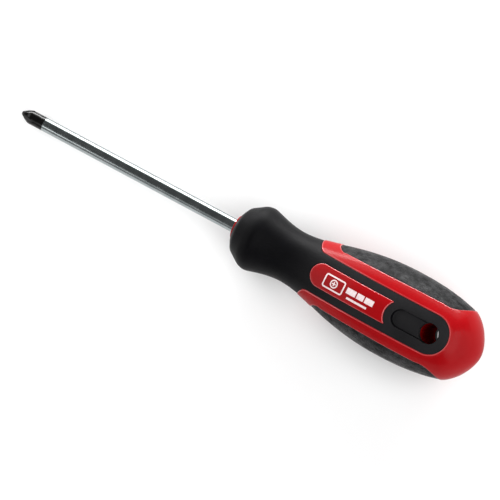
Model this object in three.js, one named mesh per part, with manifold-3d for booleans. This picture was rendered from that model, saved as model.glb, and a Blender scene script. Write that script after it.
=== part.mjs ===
// A cross-head screwdriver with a two-component handle, in millimetres, +Z up.
//
// Frame: the origin is the centre of the blade's flat tip end, +X points out of the tip, and the
// marked faces of the handle look along +Z and -Z. The soft side pads look along +Y and -Y, and the
// hang hole runs along Z.
//
// Stations on the blade are counted back from the tip end and stations on the handle back from its
// nose, so a station s lies at x = -s in its own group.

import * as THREE from 'three';
import { mergeVertices } from 'three/addons/utils/BufferGeometryUtils.js';
import Module from 'manifold-3d';

const wasm = await Module();
wasm.setup();

// ---------------------------------------------------------------- driving dimensions

const GAP = 0.3; // clearance between neighbouring pieces
const RING_SIDES = 40; // facets round the handle
const SMALL_SIDES = 24; // facets round the blade and the hang hole
const REACH = 60; // how far a cutter runs past what it cuts

// blade
const SHANK_RADIUS = 2.95;
const EXPOSED_LENGTH = 105; // tip end to handle nose
const TIP_END_RADIUS = 0.6;
const TIP_SHOULDER = [1.9, 1.95]; // where the blunt end turns into the cone, [station, radius]
const TIP_CONE_LENGTH = 4.1;
const FLUTE_TURN = THREE.MathUtils.degToRad(-22); // how far the cross is turned about the blade
const FLUTE_FLOOR_RADIUS = 0.4; // groove floor's distance from the axis at the tip end
const FLUTE_LENGTH = 7.2; // tip end to where a groove runs out
const FLUTE_OPENING = THREE.MathUtils.degToRad(92);
const TANG_LENGTH = 70; // nose to the end inside the handle
const TANG_CHAMFER = 1;
const WING_START = 50;
const WING_LENGTH = 12;
const WING_SPAN = 10.4;
const WING_THICKNESS = 2.2;

// handle envelope, as [station, radius, slope] where it turns
const NOSE_RING_RADIUS = 5.2;
const NOSE_CHAMFER = 0.4;
const BELL_FRONT = 1.1;
const BELL_FACE_RADIUS = 6.9;
const BELL_CORNER = [3, 10.05];
const BELL_SHOULDER = [8.2, 13.42, 0.4];
const BELL_CREST_END = [12.5, 13.9, -0.3];
const WAIST = [27, 11.14, 0];
const FLANK = [46, 14.68, 0.27];
const BELLY = [77, 18.99, 0];
const CAP_SHOULDER = [104, 15.9, -0.28];
const HANDLE_LENGTH = 115.6;
const CAP_PULL_LENGTH = 5.6; // how far the cap's curve keeps the shoulder's direction
const CAP_END_FLATNESS = 5.3; // radius over which the end stays nearly flat

// soft grip
const SOFT_THICKNESS = 3.4;
const FRAME_HALF_WIDTH = 8.45;
const FIELD_FRONT = 41; // where the red side fields start to run straight
const FIELD_NOSE_LENGTH = 4.7; // length of their rounded front ends

// red plate, pocket and hang hole on the marked faces
const PLATE_HALF_WIDTH = 5;
const PLATE_FRONT = 40;
const COLLAR_RADIUS = 7.2; // round collar in front of the pocket
const POCKET_CENTRE = 83.3; // centre of the pocket's round front and of the collar
const POCKET_HALF_WIDTH = 3.9;
const POCKET_FLOOR = 16.8; // height of the pocket's floor above the blade's axis
const POCKET_BED = 2.2; // soft material left under the pocket's floor
const POCKET_BED_MARGIN = 1; // and past its edges
const HOLE_STATION = 95.9;
const HOLE_RADIUS = 4.3;

// side pads
const PAD_THICKNESS = 2.4;
const PAD_FRONT = 43.8;
const PAD_REAR = 105.1;
const PAD_NOSE_LENGTH = 5.9;
const PAD_TAIL_LENGTH = 10;
const PAD_EDGE_FRONT = 12.25; // distance of the pad's long edges from the middle plane
const PAD_EDGE_REAR = 13.1;
const PAD_EDGE_SETTLED = 83; // station from which the long edges run parallel

// hard core inside the handle, as [station, radius]
const CORE_PROFILE = [[7.5, 5.2], [22, 5.6], [34, 5.6], [46, 8.4], [72, 9.6], [76, 7]];
const CORE_COLLARS = [50, 58, 66]; // stations of the collars that key it into the body
const COLLAR_WIDTH = 3;
const CORE_COLLAR_RADIUS = 10.2;

// ---------------------------------------------------------------- geometry to solids and back

// A closed geometry as a manifold solid. Triangles that collapse on the axis of a lathe are left out.
function toSolid(geometry) {
  geometry.deleteAttribute('normal');
  geometry.deleteAttribute('uv');
  const merged = mergeVertices(geometry, 1e-4);
  const corners = merged.index.array;
  const triangles = [];
  for (let i = 0; i < corners.length; i += 3) {
    const [a, b, c] = [corners[i], corners[i + 1], corners[i + 2]];
    if (a !== b && b !== c && c !== a) triangles.push(a, b, c);
  }
  const mesh = new wasm.Mesh({
    numProp: 3,
    vertProperties: new Float32Array(merged.attributes.position.array),
    triVerts: new Uint32Array(triangles),
  });
  return new wasm.Manifold(mesh);
}

function toGeometry(solid) {
  const mesh = solid.getMesh();
  const geometry = new THREE.BufferGeometry();
  geometry.setAttribute('position', new THREE.BufferAttribute(mesh.vertProperties, 3));
  geometry.setIndex(new THREE.BufferAttribute(mesh.triVerts, 1));
  geometry.computeVertexNormals();
  return geometry;
}

// ---------------------------------------------------------------- shapes

// A solid of revolution about X from [station, radius] points that start and end on the axis.
function turned(profile, sides) {
  const points = profile.map(([station, radius]) => new THREE.Vector2(radius, station));
  return toSolid(new THREE.LatheGeometry(points, sides).rotateZ(Math.PI / 2));
}

function outline(points) {
  return new THREE.Shape(points.map(([station, across]) => new THREE.Vector2(-station, across)));
}

// A prism along Z between two heights, from an outline of [station, y] points.
function planPrism(points, low, high) {
  const geometry = new THREE.ExtrudeGeometry(outline(points), {
    depth: high - low,
    bevelEnabled: false,
  });
  return toSolid(geometry.translate(0, 0, low));
}

// A prism along Y between two distances, from an outline of [station, z] points.
function sidePrism(points, low, high) {
  const geometry = new THREE.ExtrudeGeometry(outline(points), {
    depth: high - low,
    bevelEnabled: false,
  });
  return toSolid(geometry.rotateX(Math.PI / 2).translate(0, high, 0));
}

function box(sizeX, sizeY, sizeZ, station) {
  return toSolid(new THREE.BoxGeometry(sizeX, sizeY, sizeZ).translate(-station, 0, 0));
}

// Points on an elliptic arc about [station, across], from one angle to another in degrees.
// 0 degrees points to the rear and 90 degrees to the positive side.
function arc(station, across, alongRadius, acrossRadius, from, to, steps) {
  const points = [];
  for (let i = 0; i <= steps; i += 1) {
    const angle = THREE.MathUtils.degToRad(from + ((to - from) * i) / steps);
    points.push([station + alongRadius * Math.cos(angle), across + acrossRadius * Math.sin(angle)]);
  }
  return points;
}

// Radii between two [station, radius, slope] marks on a cubic that has their slopes.
function cubicBetween(start, end, steps) {
  const length = end[0] - start[0];
  const points = [];
  for (let i = 1; i <= steps; i += 1) {
    const t = i / steps;
    const rise = 3 * t * t - 2 * t * t * t;
    const leave = t * (1 - t) * (1 - t) * length * start[2];
    const arrive = t * t * (t - 1) * length * end[2];
    points.push([start[0] + t * length, start[1] + (end[1] - start[1]) * rise + leave + arrive]);
  }
  return points;
}

// ---------------------------------------------------------------- the handle's envelope

// The swell from the bell's corner to the cap's shoulder.
function gripProfile() {
  return [
    BELL_CORNER,
    [BELL_SHOULDER[0], BELL_SHOULDER[1]],
    ...cubicBetween(BELL_SHOULDER, BELL_CREST_END, 3),
    ...cubicBetween(BELL_CREST_END, WAIST, 4),
    ...cubicBetween(WAIST, FLANK, 4),
    ...cubicBetween(FLANK, BELLY, 5),
    ...cubicBetween(BELLY, CAP_SHOULDER, 5),
  ];
}

function capProfile() {
  const [station, radius, slope] = CAP_SHOULDER;
  const curve = new THREE.CubicBezierCurve(
    new THREE.Vector2(station, radius),
    new THREE.Vector2(station + CAP_PULL_LENGTH, radius + CAP_PULL_LENGTH * slope),
    new THREE.Vector2(HANDLE_LENGTH, CAP_END_FLATNESS),
    new THREE.Vector2(HANDLE_LENGTH, 0),
  );
  return curve.getPoints(6).slice(1).map((point) => [point.x, Math.max(point.y, 0)]);
}

function envelopeRadius(station) {
  const profile = gripProfile();
  const next = profile.findIndex((point) => point[0] >= station);
  const [before, after] = [profile[next - 1], profile[next]];
  const share = (station - before[0]) / (after[0] - before[0]);
  return before[1] + share * (after[1] - before[1]);
}

const grip = gripProfile();
const envelope = turned(
  [[BELL_FRONT, 0], [BELL_FRONT, BELL_FACE_RADIUS], ...grip, ...capProfile()],
  RING_SIDES,
);

// Every second point, and always the last: enough for the faces that stay inside the handle.
function everySecond(points) {
  return points.filter((point, i) => (points.length - 1 - i) % 2 === 0);
}

// What lies under the soft layer, shrunk by clearance.
function underLayer(clearance) {
  const neckEnd = BELL_FRONT + SOFT_THICKNESS + clearance;
  const neckRadius = NOSE_RING_RADIUS + GAP - clearance;
  const inner = everySecond(grip)
    .filter(([station]) => station > neckEnd + SOFT_THICKNESS)
    .map(([station, radius]) => [station, radius - SOFT_THICKNESS - clearance]);
  const last = inner[inner.length - 1];
  const profile = [
    [-GAP, 0],
    [-GAP, neckRadius],
    [neckEnd, neckRadius],
    [neckEnd, inner[0][1] - SOFT_THICKNESS],
    ...inner,
    [last[0] + SOFT_THICKNESS, 0],
  ];
  return turned(profile, RING_SIDES);
}

// ---------------------------------------------------------------- zones on the handle's surface

// The strip of the black frame, on both marked faces, ending round the hang hole.
function frameStrip(grow) {
  const half = FRAME_HALF_WIDTH + grow;
  const points = [
    [FIELD_FRONT - 1, -half],
    ...arc(HOLE_STATION, 0, half, half, -90, 90, 14),
    [FIELD_FRONT - 1, half],
  ];
  return planPrism(points, -REACH, REACH);
}

// Everything in front of the side fields, whose round front ends are cut out of it.
function frontBand(grow) {
  const end = FIELD_FRONT + grow;
  const band = planPrism([[-REACH, -REACH], [end, -REACH], [end, REACH], [-REACH, REACH]], -REACH, REACH);
  const half = Math.sqrt(envelopeRadius(FIELD_FRONT) ** 2 - FRAME_HALF_WIDTH ** 2) - grow;
  const nose = FIELD_NOSE_LENGTH - grow;
  const points = [
    ...arc(FIELD_FRONT, 0, nose, half, 90, 270, 12),
    [FIELD_FRONT + REACH, -half],
    [FIELD_FRONT + REACH, half],
  ];
  const left = sidePrism(points, FRAME_HALF_WIDTH + grow, REACH);
  const right = sidePrism(points, -REACH, -FRAME_HALF_WIDTH - grow);
  return band.subtract(left).subtract(right);
}

function blackZone(grow) {
  return frontBand(grow).add(frameStrip(grow));
}

// The red plate set into the frame, on both marked faces.
function plateZone(grow) {
  const half = PLATE_HALF_WIDTH + grow;
  const collar = COLLAR_RADIUS - grow;
  const spread = THREE.MathUtils.radToDeg(Math.asin(half / collar));
  const points = [
    ...arc(PLATE_FRONT + PLATE_HALF_WIDTH, 0, half, half, 270, 90, 14),
    ...arc(POCKET_CENTRE, 0, collar, collar, 180 - spread, 180 + spread, 8),
  ];
  return planPrism(points, -REACH, REACH);
}

// A stadium from the pocket's round front to the hang hole.
function pocketOutline(half, rear) {
  return [
    ...arc(POCKET_CENTRE, 0, half, half, 270, 90, 12),
    [rear, half],
    [rear, -half],
  ];
}

function bothFaces(points, low) {
  return planPrism(points, low, REACH).add(planPrism(points, -REACH, -low));
}

function padEdge(station) {
  const share = THREE.MathUtils.clamp((station - PAD_FRONT) / (PAD_EDGE_SETTLED - PAD_FRONT), 0, 1);
  return PAD_EDGE_FRONT + (PAD_EDGE_REAR - PAD_EDGE_FRONT) * share;
}

// A side pad's outline seen from the side: round ends, and long edges at padEdge from the middle.
function padOutline(grow) {
  const noseCentre = PAD_FRONT + PAD_NOSE_LENGTH;
  const tailCentre = PAD_REAR - PAD_TAIL_LENGTH;
  const halfAt = (station) => Math.sqrt(envelopeRadius(station) ** 2 - padEdge(station) ** 2);
  const edge = [];
  const steps = 9;
  for (let i = 1; i < steps; i += 1) {
    const station = noseCentre + ((tailCentre - noseCentre) * i) / steps;
    edge.push([station, halfAt(station) + grow]);
  }
  const nose = halfAt(noseCentre) + grow;
  const tail = halfAt(tailCentre) + grow;
  return [
    ...arc(noseCentre, 0, PAD_NOSE_LENGTH + grow, nose, 270, 90, 12),
    ...edge,
    ...arc(tailCentre, 0, PAD_TAIL_LENGTH + grow, tail, 90, -90, 12),
    ...edge.reverse().map(([station, across]) => [station, -across]),
  ];
}

function hangHole(radius) {
  const cylinder = new THREE.CylinderGeometry(radius, radius, 2 * REACH, SMALL_SIDES);
  return toSolid(cylinder.rotateX(Math.PI / 2).translate(-HOLE_STATION, 0, 0));
}

// ---------------------------------------------------------------- pieces

// One V-shaped groove of the cross, whose floor climbs from near the axis to the shank's surface.
function flute(turn) {
  const depth = SHANK_RADIUS * 2;
  const halfMouth = depth * Math.tan(FLUTE_OPENING / 2);
  const section = new THREE.Shape([
    new THREE.Vector2(0, 0),
    new THREE.Vector2(halfMouth, depth),
    new THREE.Vector2(-halfMouth, depth),
  ]);
  const climb = Math.atan((SHANK_RADIUS - FLUTE_FLOOR_RADIUS) / FLUTE_LENGTH);
  const runBefore = 2;
  const geometry = new THREE.ExtrudeGeometry(section, {
    depth: FLUTE_LENGTH * 2 + runBefore,
    bevelEnabled: false,
  });
  geometry.translate(0, 0, -runBefore).rotateY(-Math.PI / 2).rotateZ(-climb);
  geometry.translate(0, FLUTE_FLOOR_RADIUS, 0).rotateX(turn);
  return toSolid(geometry);
}

// The forging: cross-head tip, round shank, and the tang with its two torque wings.
function bladeSolid() {
  const end = EXPOSED_LENGTH + TANG_LENGTH;
  const profile = [
    [0, 0],
    [0, TIP_END_RADIUS],
    TIP_SHOULDER,
    [TIP_CONE_LENGTH, SHANK_RADIUS],
    [end - TANG_CHAMFER, SHANK_RADIUS],
    [end, SHANK_RADIUS - TANG_CHAMFER],
    [end, 0],
  ];
  let blade = turned(profile, SMALL_SIDES);
  for (let quarter = 0; quarter < 4; quarter += 1) {
    blade = blade.subtract(flute(FLUTE_TURN + (quarter * Math.PI) / 2));
  }
  const wingStation = EXPOSED_LENGTH + WING_START + WING_LENGTH / 2;
  return blade.add(box(WING_LENGTH, WING_SPAN, WING_THICKNESS, wingStation));
}

function disc(start, end, radius) {
  return turned([[start, 0], [start, radius], [end, radius], [end, 0]], SMALL_SIDES);
}

// The hard core moulded round the tang, with its collars.
function coreSolid() {
  const [front] = CORE_PROFILE[0];
  const [rear] = CORE_PROFILE[CORE_PROFILE.length - 1];
  let core = turned([[front, 0], ...CORE_PROFILE, [rear, 0]], SMALL_SIDES);
  for (const station of CORE_COLLARS) {
    core = core.add(disc(station, station + COLLAR_WIDTH, CORE_COLLAR_RADIUS));
  }
  return core;
}

// The core's bore: the tang and its wings with clearance all round.
function tangRoom() {
  const bore = disc(-REACH, TANG_LENGTH + GAP, SHANK_RADIUS + GAP);
  const wings = box(
    WING_LENGTH + 2 * GAP,
    WING_SPAN + 2 * GAP,
    WING_THICKNESS + 2 * GAP,
    WING_START + WING_LENGTH / 2,
  );
  return bore.add(wings);
}

// The room for the core inside the body. One wide recess holds all the collars.
function coreRoom() {
  const grown = CORE_PROFILE.map(([station, radius]) => [station, radius + GAP]);
  const front = grown[0][0] - GAP;
  const rear = grown[grown.length - 1][0] + GAP;
  grown[0][0] = front;
  grown[grown.length - 1][0] = rear;
  const firstCollar = CORE_COLLARS[0] - GAP;
  const lastCollar = CORE_COLLARS[CORE_COLLARS.length - 1] + COLLAR_WIDTH + GAP;
  const recess = disc(firstCollar, lastCollar, CORE_COLLAR_RADIUS + GAP);
  return turned([[front, 0], ...grown, [rear, 0]], SMALL_SIDES).add(recess);
}

function frontGripSolid() {
  const edge = -GAP / 2;
  const layer = envelope.subtract(underLayer(0)).intersect(blackZone(edge));
  const bed = bothFaces(
    pocketOutline(POCKET_HALF_WIDTH + POCKET_BED_MARGIN, HOLE_STATION),
    POCKET_FLOOR - POCKET_BED,
  );
  return layer
    .add(envelope.intersect(bed))
    .subtract(plateZone(-edge))
    .subtract(bothFaces(pocketOutline(POCKET_HALF_WIDTH, HOLE_STATION), POCKET_FLOOR))
    .subtract(hangHole(HOLE_RADIUS));
}

// The room for one side pad or, with a negative clearance, the pad itself.
function padBlock(side, clearance) {
  const [near, far] = side > 0 ? [1, REACH] : [-REACH, -1];
  const thickness = PAD_THICKNESS + clearance;
  const inner = everySecond(grip).map(([station, radius]) => [station, radius - thickness]);
  const [front] = inner[0];
  const [rear] = inner[inner.length - 1];
  const under = turned([[front, 0], ...inner, [rear + PAD_THICKNESS, 0]], RING_SIDES);
  return sidePrism(padOutline(clearance), near, far).subtract(under);
}

function handleShellSolid() {
  const edge = GAP / 2;
  const neckEnd = BELL_FRONT + SOFT_THICKNESS + 2 * GAP;
  const noseRing = turned(
    [
      [0, 0],
      [0, NOSE_RING_RADIUS - NOSE_CHAMFER],
      [NOSE_CHAMFER, NOSE_RING_RADIUS],
      [neckEnd, NOSE_RING_RADIUS],
      [neckEnd, 0],
    ],
    RING_SIDES,
  );
  const handleLength = box(HANDLE_LENGTH, 2 * REACH, 2 * REACH, BELL_FRONT + HANDLE_LENGTH / 2);
  const buried = underLayer(GAP).intersect(handleLength);
  const shown = envelope.subtract(blackZone(edge));
  const plates = envelope.intersect(plateZone(-edge));
  const bedRoom = bothFaces(
    pocketOutline(POCKET_HALF_WIDTH + POCKET_BED_MARGIN + GAP, HOLE_STATION),
    POCKET_FLOOR - POCKET_BED - GAP,
  );
  let shell = noseRing.add(buried).add(shown);
  shell = shell.subtract(bedRoom).add(plates);
  for (const side of [1, -1]) shell = shell.subtract(padBlock(side, edge));
  return shell.subtract(coreRoom()).subtract(tangRoom()).subtract(hangHole(HOLE_RADIUS));
}

function padSolid(side) {
  return envelope.intersect(padBlock(side, -GAP / 2));
}

// ---------------------------------------------------------------- materials and scene

const steel = { color: 0xb9bec2, roughness: 0.25, metalness: 1 };
const naturalPlastic = { color: 0xc9c2b0, roughness: 0.6, metalness: 0 };
const redPlastic = { color: 0xb01218, roughness: 0.3, metalness: 0 };
const blackRubber = { color: 0x1b1b1f, roughness: 0.75, metalness: 0 };

function piece(name, solid, look) {
  const mesh = new THREE.Mesh(toGeometry(solid), new THREE.MeshStandardMaterial(look));
  mesh.name = name;
  return mesh;
}

const handle = new THREE.Group();
handle.position.x = -EXPOSED_LENGTH;
handle.add(
  piece('inner_core', coreSolid().subtract(tangRoom()), naturalPlastic),
  piece('handle_shell', handleShellSolid(), redPlastic),
  piece('front_grip', frontGripSolid(), blackRubber),
  piece('left_pad', padSolid(1), blackRubber),
  piece('right_pad', padSolid(-1), blackRubber),
);

const screwdriver = new THREE.Group();
screwdriver.add(piece('blade', bladeSolid(), steel), handle);

export default screwdriver;
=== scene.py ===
"""A cross-head screwdriver with a two-component handle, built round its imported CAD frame.

The origin is the centre of the blade's flat tip end and +X points out of the tip. The marked faces
look along +Z and -Z and the soft side pads along +Y and -Y. Shapes are worked out in millimetres
and written in metres. A station is a distance back from the handle's nose, so it lies at
x = -EXPOSED_LENGTH - station.

The handle's skin is drawn on a flat chart of one quarter of it: [length along the outline from the
nose, length round the handle from the middle of the marked face]. The quarter is then mirrored.
"""

import math

import bmesh
import bpy
import numpy as np
from mathutils import Matrix, Vector
from mathutils.geometry import delaunay_2d_cdt


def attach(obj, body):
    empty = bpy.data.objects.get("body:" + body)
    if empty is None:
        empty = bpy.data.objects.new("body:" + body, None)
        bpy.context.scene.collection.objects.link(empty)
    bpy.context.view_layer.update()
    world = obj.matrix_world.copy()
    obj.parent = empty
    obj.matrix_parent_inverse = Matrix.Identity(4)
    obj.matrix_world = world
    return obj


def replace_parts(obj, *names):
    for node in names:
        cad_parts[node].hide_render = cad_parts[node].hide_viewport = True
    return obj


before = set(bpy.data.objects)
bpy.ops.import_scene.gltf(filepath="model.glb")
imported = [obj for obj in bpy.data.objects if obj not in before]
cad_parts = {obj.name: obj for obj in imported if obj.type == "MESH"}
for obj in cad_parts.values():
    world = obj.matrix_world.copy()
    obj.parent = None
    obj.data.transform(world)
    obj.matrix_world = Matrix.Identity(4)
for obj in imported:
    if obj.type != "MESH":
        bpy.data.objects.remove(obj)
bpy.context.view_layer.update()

MM = 0.001

# ---------------------------------------------------------------- sizes in millimetres

# blade
SHANK_RADIUS = 2.95
EXPOSED_LENGTH = 105.0
TIP_END_RADIUS = 0.6
TIP_SHOULDER = (1.9, 1.95)
TIP_EDGE = 0.12  # broken edge round the flat end
TIP_CONE_LENGTH = 4.1
COAT_LENGTH = 11.2  # the blackened part of the blade
FLUTE_TURN = math.radians(-22)
FLUTE_FLOOR_RADIUS = 0.4
FLUTE_LENGTH = 7.2
FLUTE_OPENING = math.radians(92)
FLUTE_SOFTNESS = 0.06  # rounding of a flute's floor
NARROWEST_FLUTE = math.radians(2)  # half a flute's opening where it runs out
PLAIN_EDGE = math.radians(24)  # where the lines of the flutes' edges go on along the plain bar
TANG_LENGTH = 70.0
WING_START, WING_END = 50.0, 62.0
WING_HALF_SPAN, WING_HALF_THICKNESS = 5.2, 1.1

# the nose ring and the room for the core inside the red body, as [station, radius]
NOSE_RING_RADIUS = 5.2
NOSE_CHAMFER = 0.4
BORE_RADIUS, BORE_EDGE = 3.02, 0.15
CORE_ROOM = (
    (7.2, 5.5), (22, 5.9), (34, 5.9), (46, 8.7), (49.7, 8.87),
    (49.7, 10.5), (69.3, 10.5), (69.3, 9.78), (72, 9.9), (76.3, 7.3),
)

# the handle's outline, as [station, radius, slope] where it turns
BELL_FRONT = 1.1
BELL_FACE_RADIUS = 6.9
BELL_CORNER = (3.0, 10.05)
BELL_SHOULDER = (8.2, 13.42, 0.4)
BELL_CREST_END = (12.5, 13.9, -0.3)
WAIST = (27.0, 11.14, 0.0)
FLANK = (46.0, 14.68, 0.27)
BELLY = (77.0, 18.99, 0.0)
CAP_SHOULDER = (104.0, 15.9, -0.28)
HANDLE_LENGTH = 115.6
CAP_PULL_LENGTH = 5.6
CAP_END_FLATNESS = 5.3

# the soft grip, the red fields and the side pads
SOFT_THICKNESS = 3.4
PAD_THICKNESS = 2.4
FRAME_HALF_WIDTH = 8.45
FIELD_FRONT, FIELD_NOSE_LENGTH = 41.0, 4.7
PAD_FRONT, PAD_REAR = 43.8, 105.1
PAD_NOSE_LENGTH, PAD_TAIL_LENGTH = 5.9, 10.0
PAD_EDGE_FRONT, PAD_EDGE_REAR, PAD_EDGE_SETTLED = 12.25, 13.1, 83.0

# plate, pocket and hang hole
PLATE_HALF_WIDTH, PLATE_FRONT = 5.0, 40.0
PLATE_CORNER_RADIUS = 0.8
COLLAR_RADIUS, POCKET_CENTRE = 7.2, 83.3
POCKET_HALF_WIDTH, POCKET_FLOOR = 3.9, 16.8
POCKET_EDGE = 0.3  # rounding of the pocket's rim and floor
POCKET_DRAFT = 0.3  # how far its wall leans in
WALL_TOP, WALL_FOOT = 0.2, 0.08  # where the wall starts below the rim and ends above the floor
HOLE_STATION, HOLE_RADIUS, HOLE_EDGE = 95.9, 4.3, 0.25
HOLE_LINER = 2.0  # how much deeper the soft material goes at the hole

# how the moulded pieces meet
SEAM = 0.04  # half the width of the fine gap between two pieces
GRIP_BED, PAD_BED = SOFT_THICKNESS + SEAM, PAD_THICKNESS + SEAM  # how deep the beds lie
RED_EDGE = 0.35  # rounding of the red plastic's edges
BLACK_EDGE = 0.25  # rounding of the soft material's edges
PROUD = 0.25  # how far the red stands above the soft material
CAP_FADE = 12.0  # length over which that step dies out at the end of the cap
EDGE_STEPS = 4
SUPPORT = 0.14  # distance from an edge's rounding to the row that holds its shading
SKIN_SPACING, BED_SPACING = 1.0, 1.6  # size of the triangles
SHARP_ANGLE = math.radians(38)

# where the grip's colour is painted paler towards the rear, as painted light falling more on its
# rear
PAINTED_LIGHT_FROM, PAINTED_LIGHT_FULLY = 32.0, 62.0

# the print on the marked faces, [station, y]
PRINT_LIFT, PRINT_THICKNESS = 0.03, 0.03
BADGE_CENTRE, BADGE_HALF = (52.0, 0.4), (4.9, 2.9)
BADGE_CORNER, BADGE_LINE = 1.0, 0.6
DIAL_RADIUS, DIAL_LINE, CROSS_ARM, CROSS_HALF = 1.75, 0.5, 0.9, 0.24
BOLD_BARS = ((58.2, 62.6), (63.2, 66.4), (67.0, 71.0))
BOLD_BAR_SIDES = (-1.25, 1.15)
THIN_BAR = (59.4, 69.0)
THIN_BAR_SIDES = (2.35, 3.2)

# the view, from the blade's direction across it and how the handle turns towards the camera
LENS, SENSOR = 288.0, 36.0
VIEW_DISTANCE = 1638.0
NOSE_IN_VIEW = (-5.62, 9.52)  # the handle's nose from the middle of the view
BLADE_SLOPE = math.radians(28.2)
HANDLE_TOWARDS = math.radians(15.6)
HANDLE_ROLL = math.radians(5.2)
FLOOR_ROLL = math.radians(12)  # how far the tool lies rolled on the floor
FLOOR_REACH, FLOOR_GAP = 6000.0, 0.05


# ---------------------------------------------------------------- the handle's outline


def cubic_between(start, end, steps=24):
    """Points from one [station, radius, slope] mark to the next, without the first."""
    length = end[0] - start[0]
    t = np.linspace(0, 1, steps + 1)[1:]
    rise = 3 * t**2 - 2 * t**3
    leave = t * (1 - t) ** 2 * length * start[2]
    arrive = t**2 * (t - 1) * length * end[2]
    return np.c_[start[0] + t * length, start[1] + (end[1] - start[1]) * rise + leave + arrive]


def cap_curve(steps=40):
    """The domed cap, from its shoulder to the middle of its end."""
    station, radius, slope = CAP_SHOULDER
    corners = np.array([
        (station, radius),
        (station + CAP_PULL_LENGTH, radius + CAP_PULL_LENGTH * slope),
        (HANDLE_LENGTH, CAP_END_FLATNESS),
        (HANDLE_LENGTH, 0),
    ])
    t = np.linspace(0, 1, steps + 1)[1:, None]
    weights = np.hstack([(1 - t) ** 3, 3 * t * (1 - t) ** 2, 3 * t**2 * (1 - t), t**3])
    return weights @ corners


def handle_outline(step=0.1, softening=1.1):
    """[station, radius] every step along the outline, with its corners softened."""
    marks = [(BELL_FRONT, NOSE_RING_RADIUS), (BELL_FRONT, BELL_FACE_RADIUS), BELL_CORNER]
    points = np.vstack([
        marks,
        BELL_SHOULDER[:2],
        cubic_between(BELL_SHOULDER, BELL_CREST_END),
        cubic_between(BELL_CREST_END, WAIST),
        cubic_between(WAIST, FLANK),
        cubic_between(FLANK, BELLY),
        cubic_between(BELLY, CAP_SHOULDER),
        cap_curve(),
    ])
    lengths = np.r_[0, np.cumsum(np.hypot(*np.diff(points, axis=0).T))]
    even = np.linspace(0, lengths[-1], round(lengths[-1] / step) + 1)
    points = np.c_[np.interp(even, lengths, points[:, 0]), np.interp(even, lengths, points[:, 1])]
    reach = round(softening / step)
    before = 2 * points[0] - points[reach:0:-1]
    after = points[-2 : -reach - 2 : -1] * (1, -1)
    padded = np.vstack([before, points, after])
    window = np.hanning(2 * reach + 1)
    window /= window.sum()
    return np.c_[
        np.convolve(padded[:, 0], window, "valid"), np.convolve(padded[:, 1], window, "valid")
    ]


OUTLINE = handle_outline()
OUTLINE[-1, 1] = 0.0
ALONG = np.r_[0, np.cumsum(np.hypot(*np.diff(OUTLINE, axis=0).T))]
LEAN = np.gradient(OUTLINE, ALONG, axis=0)
LEAN /= np.hypot(*LEAN.T)[:, None]
LENGTH = ALONG[-1]
QUARTER = math.pi / 2


def along_at(station):
    return np.interp(station, OUTLINE[:, 0], ALONG)


def station_at(along):
    return np.interp(along, ALONG, OUTLINE[:, 0])


def radius_at(along):
    return np.interp(along, ALONG, OUTLINE[:, 1])


def lean_at(along):
    """The outline's direction, as steps in station and radius."""
    return np.interp(along, ALONG, LEAN[:, 0]), np.interp(along, ALONG, LEAN[:, 1])


def to_row(station, radius, angle):
    """Points in the row frame, in millimetres, at an angle from +Z towards +Y."""
    return np.c_[-EXPOSED_LENGTH - station, radius * np.sin(angle), radius * np.cos(angle)]


def angle_of(chart):
    radius = radius_at(chart[:, 0])
    return np.divide(chart[:, 1], radius, out=np.zeros(len(chart)), where=radius > 1e-6)


def skin(chart, height=0.0):
    """Points over the chart, raised square to the skin by height."""
    station, radius = station_at(chart[:, 0]), radius_at(chart[:, 0])
    lean_station, lean_radius = lean_at(chart[:, 0])
    return to_row(
        station - height * lean_radius,
        np.maximum(radius + height * lean_station, 0),
        angle_of(chart),
    )


def under_skin(chart, depth):
    """Points under the chart, down to the soft grip's thickness and a little more.

    They lie square under the skin, but in the neck on one straight cone, and straight down from the
    marked face round the hang hole.
    """
    along = chart[:, 0]
    neck = along_at(BELL_CREST_END[0])
    lean_station, lean_radius = lean_at(along)
    station = station_at(along) + depth * lean_radius
    radius = radius_at(along) - depth * lean_station
    start = (BELL_FRONT + SOFT_THICKNESS, NOSE_RING_RADIUS + SEAM + SOFT_THICKNESS - depth)
    end_station, end_radius = lean_at(neck)
    end = (station_at(neck) + depth * end_radius, radius_at(neck) - depth * end_station)
    share = np.clip(along / neck, 0, 1)
    station = np.where(along < neck, start[0] + (end[0] - start[0]) * share, station)
    radius = np.where(along < neck, start[1] + (end[1] - start[1]) * share, radius)
    square = to_row(station, radius, angle_of(chart))
    straight = skin(chart) - (0, 0, depth + HOLE_LINER)
    away = from_hole(straight) / (FRAME_HALF_WIDTH - HOLE_RADIUS)
    away = np.clip(away, 0, 1)[:, None]
    return straight * (1 - away) + square * away


def from_hole(points):
    """Distance in plan from the hang hole's wall."""
    station = -points[:, 0] - EXPOSED_LENGTH
    return np.hypot(station - HOLE_STATION, points[:, 1]) - HOLE_RADIUS


def to_chart(points):
    along = along_at(-points[:, 0] - EXPOSED_LENGTH)
    return np.c_[along, radius_at(along) * np.arctan2(points[:, 1], points[:, 2])]


def from_plan(points):
    """The chart points of [station, y] points on the marked face."""
    points = np.asarray(points, float)
    along = along_at(points[:, 0])
    radius = radius_at(along)
    return np.c_[along, radius * np.arcsin(points[:, 1] / radius)]


def from_side(points):
    """The chart points of [station, z] points seen from the side."""
    points = np.asarray(points, float)
    along = along_at(points[:, 0])
    radius = radius_at(along)
    return np.c_[along, radius * np.arccos(points[:, 1] / radius)]


# ---------------------------------------------------------------- outlines of the zones


def line(start, end, spacing=0.9):
    """Points from start up to but not including end."""
    start, end = np.array(start, float), np.array(end, float)
    count = max(1, round(float(np.linalg.norm(end - start)) / spacing))
    return start + (end - start) * (np.arange(count) / count)[:, None]


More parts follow.
